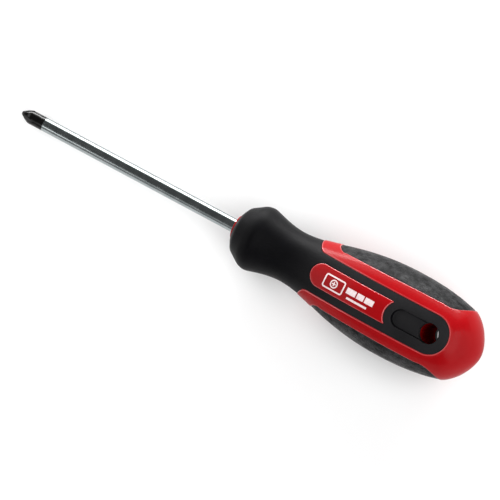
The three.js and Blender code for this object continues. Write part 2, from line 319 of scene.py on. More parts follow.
def arc(centre, radius, from_degrees, to_degrees, steps):
    """Points on a circle, both ends included. 0 degrees points to the rear, 90 to +Y."""
    angle = np.radians(np.linspace(from_degrees, to_degrees, steps + 1))
    return np.c_[centre[0] + radius * np.cos(angle), centre[1] + radius * np.sin(angle)]


def field_outline():
    """From the side's middle round the red field's nose, along the frame and round its rear end."""
    t = np.linspace(0, QUARTER, 13)
    station = FIELD_FRONT - FIELD_NOSE_LENGTH * np.cos(t)
    along = along_at(station)
    radius = radius_at(along)
    edge = np.arcsin(FRAME_HALF_WIDTH / radius)
    nose = np.c_[along, radius * (QUARTER - (QUARTER - edge) * np.sin(t))]
    straight = line((FIELD_FRONT, FRAME_HALF_WIDTH), (HOLE_STATION, FRAME_HALF_WIDTH))[1:]
    rear = arc((HOLE_STATION, 0), FRAME_HALF_WIDTH, 90, 0, 15)
    return np.vstack([nose, from_plan(np.vstack([straight, rear]))])


def plate_outline():
    """From the middle of the concave rear end round the corner to the middle of the front end."""
    corner_angle = math.degrees(math.asin(PLATE_HALF_WIDTH / COLLAR_RADIUS))
    cut = math.degrees(PLATE_CORNER_RADIUS / COLLAR_RADIUS)
    collar = arc((POCKET_CENTRE, 0), COLLAR_RADIUS, 180, 180 - corner_angle + cut, 7)
    corner = arc((POCKET_CENTRE, 0), COLLAR_RADIUS, 180 - corner_angle, 180, 1)[:1]
    leave = corner - (PLATE_CORNER_RADIUS, 0)
    t = np.linspace(0, 1, 7)[1:-1, None]
    rounded = (1 - t) ** 2 * collar[-1:] + 2 * t * (1 - t) * corner + t**2 * leave
    front_centre = PLATE_FRONT + PLATE_HALF_WIDTH
    straight = line(leave[0], (front_centre, PLATE_HALF_WIDTH))
    nose = arc((front_centre, 0), PLATE_HALF_WIDTH, 90, 180, 10)
    return from_plan(np.vstack([collar, rounded, straight, nose]))


def pad_edge(station):
    share = np.clip((station - PAD_FRONT) / (PAD_EDGE_SETTLED - PAD_FRONT), 0, 1)
    return PAD_EDGE_FRONT + (PAD_EDGE_REAR - PAD_EDGE_FRONT) * share


def pad_outline():
    """From the pad's rear end over its long edge to its front end."""
    nose_centre = PAD_FRONT + PAD_NOSE_LENGTH
    tail_centre = PAD_REAR - PAD_TAIL_LENGTH

    def half(station):
        return np.sqrt(radius_at(along_at(station)) ** 2 - pad_edge(station) ** 2)

    t = np.linspace(0, QUARTER, 15)
    tail = np.c_[tail_centre + PAD_TAIL_LENGTH * np.cos(t), half(tail_centre) * np.sin(t)]
    stations = line((tail_centre, 0), (nose_centre, 0))[1:, 0]
    edge = np.c_[stations, half(stations)]
    nose = np.c_[nose_centre - PAD_NOSE_LENGTH * np.sin(t), half(nose_centre) * np.cos(t)]
    return from_side(np.vstack([tail, edge, nose]))


# ---------------------------------------------------------------- rows along an edge


def inset(outline, distance, side, ends):
    """The outline moved over the skin by distance, to its left (side 1) or right (side -1).

    ends says which plane each end lies on, "y" for the middle plane y = 0 and "z" for z = 0.
    """
    points = skin(outline)
    ghosts = []
    for end, near in ((ends[0], points[1]), (ends[1], points[-2])):
        ghosts.append(near * ((1, -1, 1) if end == "y" else (1, 1, -1)))
    padded = np.vstack([ghosts[0], points, ghosts[1]])
    tangent = padded[2:] - padded[:-2]
    normal = skin(outline, 1.0) - points
    inward = np.cross(normal, tangent) * side
    inward /= np.linalg.norm(inward, axis=1)[:, None]
    moved = to_chart(points + inward * distance)
    for row, end in ((0, ends[0]), (-1, ends[1])):
        moved[row, 1] = 0.0 if end == "y" else radius_at(moved[row, 0]) * QUARTER
    return moved


def rounding(distance, radius):
    """How far a rounded edge lies below its face, at a distance in from the edge."""
    inside = np.clip(distance, 0, radius)
    return radius - np.sqrt(np.maximum(radius**2 - (radius - inside) ** 2, 0))


def edge_distances(radius):
    """Where the rows of a rounded edge lie, counted in from the edge."""
    turn = np.linspace(0, QUARTER, EDGE_STEPS + 1)
    return [*(radius * (1 - np.cos(turn))), radius + SUPPORT]


def edge_rows(outline, side, ends, radius, seam=SEAM):
    """[chart points, drop] of each row of a rounded edge, the outermost first."""
    return [
        (inset(outline, seam + d, side, ends), float(rounding(d, radius)))
        for d in edge_distances(radius)
    ]


# ---------------------------------------------------------------- filling a zone with triangles


def mirror_point(plane, along):
    return (along, 0.0 if plane == "y" else float(radius_at(along)) * QUARTER)


def nearest(points, others):
    """Distance from each point to the nearest of the others."""
    best = np.full(len(points), 1e9)
    for start in range(0, len(others), 400):
        block = others[start : start + 400]
        gaps = np.linalg.norm(points[:, None, :] - block[None, :, :], axis=2)
        best = np.minimum(best, gaps.min(axis=1))
    return best


def plane_stops(start, end, spacing, extra):
    """Where points lie along a mirror plane: evenly between two edges, and at the extra places."""
    inside = [a for a in extra if min(start, end) < a < max(start, end)]
    stops = line((start, 0), (end, 0), spacing)[1:, 0]
    stops = [a for a in stops if all(abs(a - b) > 0.3 for b in inside)]
    return sorted(stops + inside, reverse=bool(end < start))


def staggered_grid(low, high, spacing):
    """Points in rows, every second row shifted by half a step."""
    grid = []
    for k, across in enumerate(np.arange(low[1], high[1], spacing * 0.866)):
        shift = spacing / 2 * (k % 2)
        grid += [(a, across) for a in np.arange(low[0] + shift, high[0], spacing)]
    return np.array(grid)


def triangulate(points, drops, lines, polygon):
    """Triangles inside the polygon that keep to the lines: points, drops and triangles."""
    x, y = points[polygon].T
    if np.sum(x * np.roll(y, -1) - y * np.roll(x, -1)) < 0:
        polygon.reverse()
    out, _, faces, origins, _, owners = delaunay_2d_cdt(
        [Vector(p) for p in points], lines, [polygon], 1, 1e-5, True
    )
    out = np.array([points[o[0]] if o else tuple(p) for p, o in zip(out, origins)])
    drop = np.array([drops[o].max() if o else 0.0 for o in origins])
    faces = np.array([face for face, owner in zip(faces, owners) if owner])
    used = np.unique(faces)
    renumber = np.full(len(out), -1)
    renumber[used] = np.arange(len(used))
    return out[used], drop[used], renumber[faces]


def fill(edges, planes, inner_rows=(), extra=(), spacing=SKIN_SPACING):
    """Triangles over a zone whose rounded edges follow one another along its mirror planes.

    edges is a list of row lists, planes names the mirror plane from each edge to the next, and
    inner_rows are more lines that the triangles keep to. Returns chart points, drops and triangles.
    """
    points, drops, lines = [], [], []

    def add(chart, drop):
        first = len(points)
        points.extend(map(tuple, chart))
        drops.extend([drop] * len(chart))
        return list(range(first, len(points)))

    rows = [[add(chart, drop) for chart, drop in edge] for edge in edges]
    polygon = []
    for i, edge in enumerate(rows):
        following = rows[(i + 1) % len(rows)]
        for row in edge:
            lines += list(zip(row, row[1:]))
        polygon += edge[0]
        leave = [row[-1] for row in edge[1:]]
        arrive = [row[0] for row in reversed(following[1:])]
        if planes[i] is None:
            lines += [(row[-1], row[0]) for row in edge]
            continue
        start = points[leave[-1] if leave else edge[0][-1]][0]
        end = points[arrive[0] if arrive else following[0][0]][0]
        stops = [mirror_point(planes[i], a) for a in plane_stops(start, end, spacing, extra)]
        polygon += leave + add(stops, 0.0) + arrive
    for chart in inner_rows:
        row = add(chart, 0.0)
        lines += list(zip(row, row[1:]))

    fixed = np.array(points)
    grid = staggered_grid(fixed.min(axis=0), fixed.max(axis=0), spacing)
    grid = grid[nearest(grid, fixed) > spacing * 0.55]
    known = np.r_[drops, np.zeros(len(grid))]
    return triangulate(np.vstack([fixed, grid]), known, lines, polygon)


# ---------------------------------------------------------------- meshes

MIRROR_Y, MIRROR_Z, HALF_TURN = (1, -1, 1), (1, 1, -1), (1, -1, -1)


class Build:
    """Collects points in millimetres and faces, and makes one piece of them.

    Each point has a mark, which its material reads: what it means is said where it is set.
    """

    def __init__(self):
        self.points = []
        self.faces = []
        self.marks = []

    def add(self, points, faces, marks=0.0):
        first = len(self.points)
        self.points.extend(tuple(p) for p in points)
        self.faces.extend(tuple(first + i for i in face) for face in faces)
        self.marks.extend(np.broadcast_to(marks, len(points)).tolist())

    def add_copy(self, signs):
        """Adds a copy of it all with its x, y and z times these signs."""
        count = len(self.points)
        self.points += [tuple(a * b for a, b in zip(point, signs)) for point in self.points]
        self.marks += self.marks
        step = 1 if math.prod(signs) > 0 else -1
        self.faces += [tuple(count + i for i in face[::step]) for face in self.faces]

    def piece(self, name, material, slot):
        """A piece made of it all, with smooth faces and creases where it turns sharply."""
        mesh = bpy.data.meshes.new(name)
        mesh.from_pydata([Vector(p) * MM for p in self.points], [], self.faces)
        mesh.attributes.new("mark", "FLOAT", "POINT").data.foreach_set("value", self.marks)
        work = bmesh.new()
        work.from_mesh(mesh)
        bmesh.ops.remove_doubles(work, verts=work.verts, dist=0.002 * MM)
        bmesh.ops.dissolve_degenerate(work, edges=work.edges, dist=0.001 * MM)
        loose = [vert for vert in work.verts if not vert.link_faces]
        bmesh.ops.delete(work, geom=loose, context="VERTS")
        bmesh.ops.recalc_face_normals(work, faces=work.faces)
        for face in work.faces:
            face.smooth = True
        for edge in work.edges:
            edge.smooth = edge.calc_face_angle(0.0) < SHARP_ANGLE
        work.to_mesh(mesh)
        work.free()
        piece = bpy.data.objects.new(name, mesh)
        bpy.context.scene.collection.objects.link(piece)
        mesh.materials.append(material)
        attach(piece, "root")
        return piece


def open_edges(faces, points, mirrored=True):
    """Edges with one face, without those on a mirror plane."""
    count = {}
    for a, b, c in faces:
        for edge in ((a, b), (b, c), (c, a)):
            count[edge] = count.get(edge, 0) + 1
    found = []
    for a, b in count:
        if (b, a) in count:
            continue
        on_plane = any(abs(points[a][k]) < 1e-6 and abs(points[b][k]) < 1e-6 for k in (1, 2))
        if not (mirrored and on_plane):
            found.append((a, b))
    return found


def add_slab(build, top, bottom, faces, mirrored=True, marks=0.0):
    """A closed body between two sheets that share their triangles, open only at mirror planes."""
    count = len(top)
    walls = [(b, a, a + count, b + count) for a, b in open_edges(faces, top, mirrored)]
    lower = [tuple(i + count for i in reversed(face)) for face in faces]
    build.add(np.vstack([top, bottom]), [tuple(f) for f in faces] + lower + walls, marks)


# ---------------------------------------------------------------- the zones of the handle

FIELD_ENDS = ("z", "y")
PLATE_ENDS = ("y", "y")
PAD_ENDS = ("z", "z")


def neck_rows(radius):
    """Rows of the rounded edge round the soft grip's front opening."""
    angle = np.linspace(0, QUARTER, 13)
    rows = []
    for d in edge_distances(radius):
        chart = np.c_[np.full(len(angle), SEAM + d), radius_at(SEAM + d) * angle]
        rows.append((chart, float(rounding(d, radius))))
    return rows


def hole_arc(grow):
    return from_plan(arc((HOLE_STATION, 0), HOLE_RADIUS + grow, 0, 180, 22))


def pocket_row(grow):
    """The pocket's outline in plan, moved out by grow, from its front to over the hang hole."""
    half = POCKET_HALF_WIDTH + grow
    front = arc((POCKET_CENTRE, 0), half, 180, 90, 12)
    side = line((POCKET_CENTRE, half), (HOLE_STATION, half), 0.8)[1:]
    return from_plan(np.vstack([front, side, [(HOLE_STATION, half)]]))


def sunk(points):
    """The soft grip's skin let down into the pocket and rounded at the hang hole's edge."""
    points = points.copy()
    station, y, z = -points[:, 0] - EXPOSED_LENGTH, np.abs(points[:, 1]), points[:, 2]
    beyond = np.maximum(POCKET_CENTRE - station, 0)
    outside = np.hypot(beyond, y) - POCKET_HALF_WIDTH
    outside = np.where(station > HOLE_STATION, POCKET_HALF_WIDTH, outside)
    edge = np.clip(0.45 * (z - POCKET_FLOOR), 0.01, POCKET_EDGE)  # less where it is shallow
    lip = z - rounding(np.maximum(outside, 0), edge)
    share = np.clip(-outside / POCKET_DRAFT, 0, 1)
    wall = (z - edge) * (1 - share) + (POCKET_FLOOR + edge) * share
    bed = POCKET_FLOOR + rounding(np.maximum(-outside - POCKET_DRAFT, 0), edge)
    level = np.where(outside >= 0, lip, np.where(share < 1, wall, bed))
    level = level - rounding(np.maximum(from_hole(points), 0), HOLE_EDGE)
    near = (z > 0) & (y < FRAME_HALF_WIDTH - 1) & (station > POCKET_CENTRE - FRAME_HALF_WIDTH)
    points[:, 2] = np.where(near, level, z)
    return points


def soft_grip(material):
    """The black grip: bell, waist and the frame round the plates, pockets and hang hole.

    Its mark is 1 on the pockets' walls and underneath, where its material paints shade with a
    darker colour and no specular.
    """
    lip = [POCKET_EDGE * share for share in (1, 0.7, 0.42, 0.2, 0.06)]
    pocket_rows = [pocket_row(g) for g in lip]
    pocket_rows += [pocket_row(g) for g in (0, -POCKET_DRAFT)]
    pocket_rows += [pocket_row(-POCKET_DRAFT - g) for g in reversed(lip)]
    hole = [(hole_arc(d), 0.0) for d in edge_distances(HOLE_EDGE)]
    chart, drop, faces = fill(
        [
            neck_rows(BLACK_EDGE),
            edge_rows(field_outline(), 1, FIELD_ENDS, BLACK_EDGE),
            hole,
            edge_rows(plate_outline(), 1, PLATE_ENDS, BLACK_EDGE),
        ],
        ["z", "y", "y", "y"],
        inner_rows=pocket_rows,
        extra=[float(row[0, 0]) for row in pocket_rows],
    )
    level = skin(chart, -drop)
    top = sunk(level)
    let_down = (level - top)[:, 2]
    # Painted shade: the pockets' walls are marked for a darker colour.
    on_wall = (let_down > WALL_TOP) & (top[:, 2] > POCKET_FLOOR + WALL_FOOT)
    bottom = under_skin(chart, SOFT_THICKNESS)
    build = Build()
    add_slab(build, top, bottom, faces, marks=np.r_[on_wall, np.ones(len(bottom))])
    build.add_copy(MIRROR_Y)
    build.add_copy(MIRROR_Z)
    return build.piece("soft_grip", material, "black_grip")


def side_pad(name, side, material):
    """One soft pad, let into the red field beside it."""
    chart, drop, faces = fill([edge_rows(pad_outline(), 1, PAD_ENDS, BLACK_EDGE)], ["z"])
    build = Build()
    flip = (1, side, 1)
    add_slab(build, skin(chart, -drop) * flip, skin(chart, -PAD_THICKNESS) * flip, faces)
    build.add_copy(MIRROR_Z)
    return build.piece(name, material, "side_pad")


def proud(along):
    """How far the red stands above the soft material. It dies out at the end of the cap."""
    return PROUD * np.clip((LENGTH - along) / CAP_FADE, 0, 1)


def quarter_lathe(build, profile, steps=12):
    """A quarter of a surface of revolution from [station, radius] points."""
    angle = np.linspace(0, QUARTER, steps + 1)
    rings = [to_row(np.full(len(angle), s), np.full(len(angle), r), angle) for s, r in profile]
    count = len(angle)
    faces = []
    for ring in range(len(profile) - 1):
        for i in range(ring * count, ring * count + count - 1):
            faces.append((i, i + 1, i + 1 + count, i + count))
    build.add(np.vstack(rings), faces)


def add_standing_red(build):
    """The cap with its side fields and the plate, down to the beds of the soft pieces."""
    pad = edge_rows(pad_outline(), -1, PAD_ENDS, RED_EDGE, 0)
    field = edge_rows(field_outline(), -1, FIELD_ENDS, RED_EDGE, 0)
    plate = edge_rows(plate_outline(), -1, PLATE_ENDS, RED_EDGE, 0)
    pole = [(np.array([(LENGTH, 0.0)]), 0.0)]  # the middle of the cap's end
    for edges, planes in (([field, pole, pad], ["y", "z", "z"]), ([plate], ["y"])):
        chart, drop, faces = fill(edges, planes)
        top = skin(chart, proud(chart[:, 0]) - drop)
        by_pad = nearest(chart, pad[0][0])[:, None] < 1e-4
        to_edge = np.min([nearest(chart, edge[0][0]) for edge in edges if edge is not pole], axis=0)
        # Near its edges the red gets more coat and a paler colour, which is a painted highlight.
        lighter_tone = np.clip((RED_EDGE + SUPPORT - to_edge) / SUPPORT, 0, 1)
        foot = np.where(by_pad, skin(chart, -PAD_BED), under_skin(chart, GRIP_BED))
        count = len(top)
        walls = [(b, a, a + count, b + count) for a, b in open_edges(faces, top)]
        build.add(np.vstack([top, foot]), [tuple(f) for f in faces] + walls, np.r_[lighter_tone, 0 * lighter_tone])


def add_pad_bed(build):
    chart, _, faces = fill([[(pad_outline(), 0.0)]], ["z"], spacing=BED_SPACING)
    build.add(skin(chart, -PAD_BED), faces)


def add_grip_bed(build):
    """The bed under the soft grip and the wall of the hang hole, down to the middle plane."""
    angle = np.linspace(0, QUARTER, 13)
    neck = [(np.c_[np.zeros(len(angle)), NOSE_RING_RADIUS * angle], 0.0)]
    outlines = [neck, [(field_outline(), 0.0)], [(hole_arc(0), 0.0)], [(plate_outline(), 0.0)]]
    chart, _, faces = fill(outlines, ["z", "y", "y", "y"], spacing=BED_SPACING)
    bed = under_skin(chart, GRIP_BED)
    at_hole = np.abs(from_hole(bed)) < 0.01
    # The hang hole's wall is marked -1 for painted shade in a darker red.
    build.add(bed, faces, np.where(at_hole, -1.0, 0.0))
    rim = [(a, b) for a, b in open_edges(faces, bed) if at_hole[a] and at_hole[b]]
    count = len(bed)
    wall = [(b, a, a + count, b + count) for a, b in rim]
    build.add(np.vstack([bed, bed * (1, 1, 0)]), wall, -1.0)


def red_shell(material):
    """The red body: cap, side fields and plates standing out of the beds of the soft pieces.

    Its mark is 1 on the edges, which get more coat and a painted highlight in paler red, and -1 on
    the wall of the hang hole, which gets painted shade in darker red.
    """
    build = Build()
    add_standing_red(build)
    add_pad_bed(build)
    add_grip_bed(build)
    quarter_lathe(build, [
        (BELL_FRONT + SOFT_THICKNESS, NOSE_RING_RADIUS),
        (NOSE_CHAMFER, NOSE_RING_RADIUS),
        (NOSE_CHAMFER * 0.3, NOSE_RING_RADIUS - NOSE_CHAMFER * 0.3),
        (0, NOSE_RING_RADIUS - NOSE_CHAMFER),
        (0, BORE_RADIUS + BORE_EDGE),
        (BORE_EDGE, BORE_RADIUS),
        (CORE_ROOM[0][0], BORE_RADIUS),
        *CORE_ROOM,
        (CORE_ROOM[-1][0], 0),
    ])
    build.add_copy(MIRROR_Y)
    build.add_copy(MIRROR_Z)
    return build.piece("red_shell", material, "red_plastic")


# ---------------------------------------------------------------- the print


def ring_shape(outer, inner):
    """Points and triangles between two closed outlines with the same number of points."""
    count = len(outer)
    faces = []
    for i in range(count):
        j = (i + 1) % count
        faces += [(i, j, count + j), (i, count + j, count + i)]
    return np.vstack([outer, inner]), np.array(faces)


def solid_shape(outline):
    chart, _, faces = fill([[(from_plan(outline), 0.0)]], [None], spacing=0.8)
    return chart, faces


def closed_line(corners, spacing=0.5):
    return np.vstack([line(a, b, spacing) for a, b in zip(corners, corners[1:] + corners[:1])])


def rectangle(stations, sides):
    (s0, s1), (y0, y1) = stations, sides
    return closed_line([(s0, y0), (s1, y0), (s1, y1), (s0, y1)])


def badge(cut):
    """A rectangle with round corners, its outline moved in by cut."""
    centre_station, centre_y = BADGE_CENTRE
    half_station, half_y = BADGE_HALF
    radius = BADGE_CORNER - cut
    points = []
    for turn, (a, b) in enumerate(((1, 1), (-1, 1), (-1, -1), (1, -1))):
        corner = (
            centre_station + a * (half_station - BADGE_CORNER),
            centre_y + b * (half_y - BADGE_CORNER),
        )
        points.append(arc(corner, radius, 90 * turn, 90 * turn + 90, 6))
    rounds = np.vstack(points)
    return np.vstack([line(a, b, 0.8) for a, b in zip(rounds, np.roll(rounds, -1, axis=0))])


def resampled(outline, count=96):
    """The closed outline with this many points, evenly spread along it."""
    closed = np.vstack([outline, outline[:1]])
    length = np.r_[0, np.cumsum(np.hypot(*np.diff(closed, axis=0).T))]
    at = np.linspace(0, 1, count + 1)[:-1] * length[-1]
    return np.c_[np.interp(at, length, closed[:, 0]), np.interp(at, length, closed[:, 1])]


def badge_shapes():
    """A frame, a ring and an upright cross, like the mark for a cross-head driver."""
    frame_lines = [resampled(badge(cut)) for cut in (0, BADGE_LINE)]
    radii = (DIAL_RADIUS, DIAL_RADIUS - DIAL_LINE)
    ring_lines = [arc(BADGE_CENTRE, radius, 0, 360, 48)[:-1] for radius in radii]
    arm, half = CROSS_ARM, CROSS_HALF
    cross = [
        (arm, half), (half, half), (half, arm), (-half, arm), (-half, half), (-arm, half),
        (-arm, -half), (-half, -half), (-half, -arm), (half, -arm), (half, -half), (arm, -half),
    ]
    cross = closed_line([(BADGE_CENTRE[0] + a, BADGE_CENTRE[1] + b) for a, b in cross], 0.3)
    rings = [ring_shape(from_plan(a), from_plan(b)) for a, b in (frame_lines, ring_lines)]
    return [*rings, solid_shape(cross)]


def face_print(material):
    """Thin ink on both plates: a framed ring and cross, and plain bars."""
    shapes = badge_shapes()
    shapes += [solid_shape(rectangle(span, BOLD_BAR_SIDES)) for span in BOLD_BARS]
    shapes.append(solid_shape(rectangle(THIN_BAR, THIN_BAR_SIDES)))
    build = Build()
    for chart, faces in shapes:
        low = PROUD + PRINT_LIFT
        add_slab(build, skin(chart, low + PRINT_THICKNESS), skin(chart, low), faces, False)
    build.add_copy(HALF_TURN)
    return build.piece("plate_print", material, "white_print")


# ---------------------------------------------------------------- the blade


def soft_min(a, b, width):
    """The smaller of the two, with a rounded change from one to the other."""
    share = np.clip(0.5 + 0.5 * (b - a) / width, 0, 1)
    return b + (a - b) * share - width * share * (1 - share)


def blade_profile(back):
    """The blade's radius, flutes and wings left out."""
    turn, wide = TIP_SHOULDER
    blunt = TIP_END_RADIUS + (wide - TIP_END_RADIUS) * back / turn
    cone = wide + (SHANK_RADIUS - wide) * (back - turn) / (TIP_CONE_LENGTH - turn)
    radius = soft_min(soft_min(blunt, cone, 0.3), SHANK_RADIUS, 0.3)
    return radius - max(TIP_EDGE - back, 0)


def flute_floor(back):
    """Distance from the blade's axis to the flutes' floor."""
    return FLUTE_FLOOR_RADIUS + (SHANK_RADIUS - FLUTE_FLOOR_RADIUS) * back / FLUTE_LENGTH


def flute_edge(back):
    """Angle from a flute's middle to the edge of the wing beside it."""
    lean = QUARTER - FLUTE_OPENING / 2
    share = min(flute_floor(back) / blade_profile(back), 1)
    edge = math.acos(share * math.cos(lean)) - lean
    past = min(max((back - FLUTE_LENGTH + 0.4) / 2, 0), 1)
    return max(edge, NARROWEST_FLUTE) * (1 - past) + PLAIN_EDGE * past


def blade_ring(back):
    """The blade's section at a distance back from the tip end."""
    lean = QUARTER - FLUTE_OPENING / 2
    edge = flute_edge(back)
    on_wing = edge + (QUARTER / 2 - edge) * np.linspace(0, 1, 5)[1:]
    half = np.r_[edge * np.linspace(0, 1, 6), on_wing]
    away = np.r_[-half[:0:-1], half[:-1]]
    profile = blade_profile(back)
    side = np.hypot(np.sin(away), FLUTE_SOFTNESS) * math.tan(lean)
    opening = np.maximum(np.cos(away) - side, 0.02)
    radius = np.minimum(profile, flute_floor(back) / opening)
    radius = np.tile(radius, 4)
    angle = np.concatenate([QUARTER - FLUTE_TURN + k * QUARTER + away for k in range(4)])
    station = back - EXPOSED_LENGTH
    if WING_START <= station <= WING_END:
        bar = np.minimum(
            WING_HALF_SPAN / np.maximum(np.abs(np.sin(angle)), 1e-3),
            WING_HALF_THICKNESS / np.maximum(np.abs(np.cos(angle)), 1e-3),
        )
        radius = np.maximum(radius, bar)
    return to_row(np.full(len(angle), station), radius, angle)


def blade_piece(name, backs, material, slot):
    """A closed stretch of the blade through sections at these distances from the tip end."""
    rings = [blade_ring(back) for back in backs]
    count = len(rings[0])
    faces = []
    for ring in range(len(rings) - 1):
        for i in range(count):
            a, b = ring * count + i, ring * count + (i + 1) % count
            faces.append((a, b, b + count, a + count))
    points = np.vstack(rings)
    for first, turn in ((0, 1), (len(points) - count, -1)):
        centre = points[first : first + count].mean(axis=0)
        points = np.vstack([points, centre])
        last = len(points) - 1
        for i in range(count):
            a, b = first + i, first + (i + 1) % count
            faces.append((last, b, a) if turn > 0 else (last, a, b))
    build = Build()
    build.add(points, faces)
    return build.piece(name, material, slot)


def blade(steel, coat):
    tip_backs = [
        0, TIP_EDGE, *np.linspace(0.3, TIP_CONE_LENGTH + 0.3, 20),
        *np.linspace(TIP_CONE_LENGTH + 0.5, FLUTE_LENGTH + 0.4, 22), 9.4, 10.2, COAT_LENGTH,
    ]
    end = EXPOSED_LENGTH + TANG_LENGTH
    wing_in, wing_out = EXPOSED_LENGTH + WING_START, EXPOSED_LENGTH + WING_END
    shank_backs = [
        *np.linspace(COAT_LENGTH, wing_in - 0.1, 40), wing_in, wing_out, wing_out + 0.1, end,
    ]
    shank = blade_piece("blade_shank", shank_backs, steel, "blade_steel")
    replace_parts(shank, "blade")
    blade_piece("blade_tip", tip_backs, coat, "tip_black")


# ---------------------------------------------------------------- materials


def new_material(name):
    """An empty node material with its Principled shader: (material, node tree, shader)."""
    material = bpy.data.materials.new(name)
    material.use_nodes = True
    return material, material.node_tree, material.node_tree.nodes["Principled BSDF"]


def add_node(tree, kind, **values):
    """A node with its properties and, by socket name, its inputs set."""
    node = tree.nodes.new(kind)
    for key, value in values.items():
        socket = node.inputs.get(key.replace("_", " "))
        if socket is not None:
            socket.default_value = value
        else:
            setattr(node, key, value)
    return node


def feed(tree, shader, **values):
    """Sets the shader's inputs, by name, to numbers or to what other nodes give."""
    for key, value in values.items():
        socket = shader.inputs[key.replace("_", " ")]
        if isinstance(value, bpy.types.NodeSocket):
            tree.links.new(value, socket)
        else:
            socket.default_value = value


def object_noise(tree, scale, stretch=(1, 1, 1), detail=4.0, roughness=0.55):
    """Noise over the piece's own metres. The scale is in features per metre."""
    place = add_node(tree, "ShaderNodeTexCoord")
    squash = add_node(tree, "ShaderNodeMapping")
    squash.inputs["Scale"].default_value = stretch
    noise = add_node(tree, "ShaderNodeTexNoise", Scale=scale, Detail=detail, Roughness=roughness)
    tree.links.new(place.outputs["Object"], squash.inputs["Vector"])
    tree.links.new(squash.outputs["Vector"], noise.inputs["Vector"])
    return noise.outputs["Fac"]


def ranged(tree, value, low, high, from_low=0.3, from_high=0.7):
    """A value taken from one range to another."""
    node = add_node(tree, "ShaderNodeMapRange")
    for name, number in (
        ("From Min", from_low), ("From Max", from_high), ("To Min", low), ("To Max", high),
    ):
        node.inputs[name].default_value = number
    tree.links.new(value, node.inputs["Value"])
    return node.outputs["Result"]


def point_mark(tree, low, high):
    """The mark of the piece's points, from 0 where it is low to 1 where it is high."""
    mark = add_node(tree, "ShaderNodeAttribute", attribute_name="mark")
    return ranged(tree, mark.outputs["Fac"], 0, 1, low, high)


def mixed(tree, share, first, second):
    """A colour between two, each of them a linear colour or what another node gives."""
    node = add_node(tree, "ShaderNodeMix", data_type="RGBA")
    tree.links.new(share, node.inputs["Factor"])
    for name, colour in (("A", first), ("B", second)):
        if isinstance(colour, tuple):
            node.inputs[name].default_value = (*colour, 1)
        else:
            tree.links.new(colour, node.inputs[name])
    return node.outputs["Result"]


def bumped(tree, shader, value, distance, strength=1.0, under=None):
    """Relief from a value, with its height in metres. Returns the bump node."""
    node = add_node(tree, "ShaderNodeBump", Strength=strength, Distance=distance)
    tree.links.new(value, node.inputs["Height"])
    if under is not None:
        tree.links.new(under.outputs["Normal"], node.inputs["Normal"])
    tree.links.new(node.outputs["Normal"], shader.inputs["Normal"])
    return node


def plated_steel():
    """Bright plating over a finely ground bar, with rings of grinding and slight handling haze."""
    material, tree, shader = new_material("plated_steel")
    haze = object_noise(tree, 260, detail=5)
    rings = object_noise(tree, 900, stretch=(9, 0.6, 0.6), detail=2)
    colour = mixed(tree, ranged(tree, haze, 0, 1), (0.30, 0.335, 0.34), (0.37, 0.40, 0.405))
    roughness = ranged(tree, haze, 0.10, 0.16)
    feed(tree, shader, Base_Color=colour, Roughness=roughness, Metallic=1.0)
    bumped(tree, shader, rings, 0.000004, 0.5)
    return material


def black_finish():
    """The blackened, fine blasted tip, a little browner and shinier where it is scuffed."""
    material, tree, shader = new_material("black_finish")
    lighter_tone = object_noise(tree, 900, detail=6)
    grain = object_noise(tree, 9000, detail=2)
    share = ranged(tree, lighter_tone, 0, 1)
    colour = mixed(tree, share, (0.0006, 0.0006, 0.0008), (0.0026, 0.0023, 0.0021))
    feed(tree, shader, Base_Color=colour, Roughness=ranged(tree, lighter_tone, 0.34, 0.20))
    feed(tree, shader, Specular_IOR_Level=0.04, Coat_Weight=0.4, Coat_Roughness=0.12)
    bumped(tree, shader, grain, 0.00001, 0.3)
    return material


def glossy_red():
    """Hard glossy plastic with faint flow in its colour, polished on its edges with a painted
    highlight in paler red there, and painted shade in the hang hole.
    """
    material, tree, shader = new_material("glossy_red")
    flow = object_noise(tree, 60, stretch=(0.5, 1, 1), detail=3)
    fine = object_noise(tree, 2600, detail=3)
    plain = mixed(tree, ranged(tree, flow, 0, 1), (0.245, 0.0014, 0.0030), (0.290, 0.0022, 0.0042))
    # Painted highlight: the paler red along the edges.
    lighter_tone = mixed(tree, ranged(tree, fine, 0, 1), (0.36, 0.020, 0.022), (0.46, 0.045, 0.048))
    # Painted shade: the hang hole's wall gets a darker red, no specular and no coat.
    inside = mixed(tree, ranged(tree, flow, 0, 1), (0.17, 0.0008, 0.0012), (0.22, 0.0012, 0.0018))
    edge, wall = point_mark(tree, 0, 1), point_mark(tree, 0, -1)
    colour = mixed(tree, wall, mixed(tree, edge, plain, lighter_tone), inside)
    feed(tree, shader, Base_Color=colour, Roughness=ranged(tree, fine, 0.34, 0.44))
    gloss = add_node(tree, "ShaderNodeMath", operation="SUBTRACT")
    tree.links.new(ranged(tree, edge, 0.09, 1.0, 0, 1), gloss.inputs[0])
    tree.links.new(ranged(tree, wall, 0.0, 0.09, 0, 1), gloss.inputs[1])
    feed(tree, shader, Coat_Weight=gloss.outputs[0], Coat_Roughness=0.13)
    feed(tree, shader, Specular_IOR_Level=ranged(tree, wall, 0.04, 0.0, 0, 1))
    bumped(tree, shader, fine, 0.000008, 0.35)
    return material


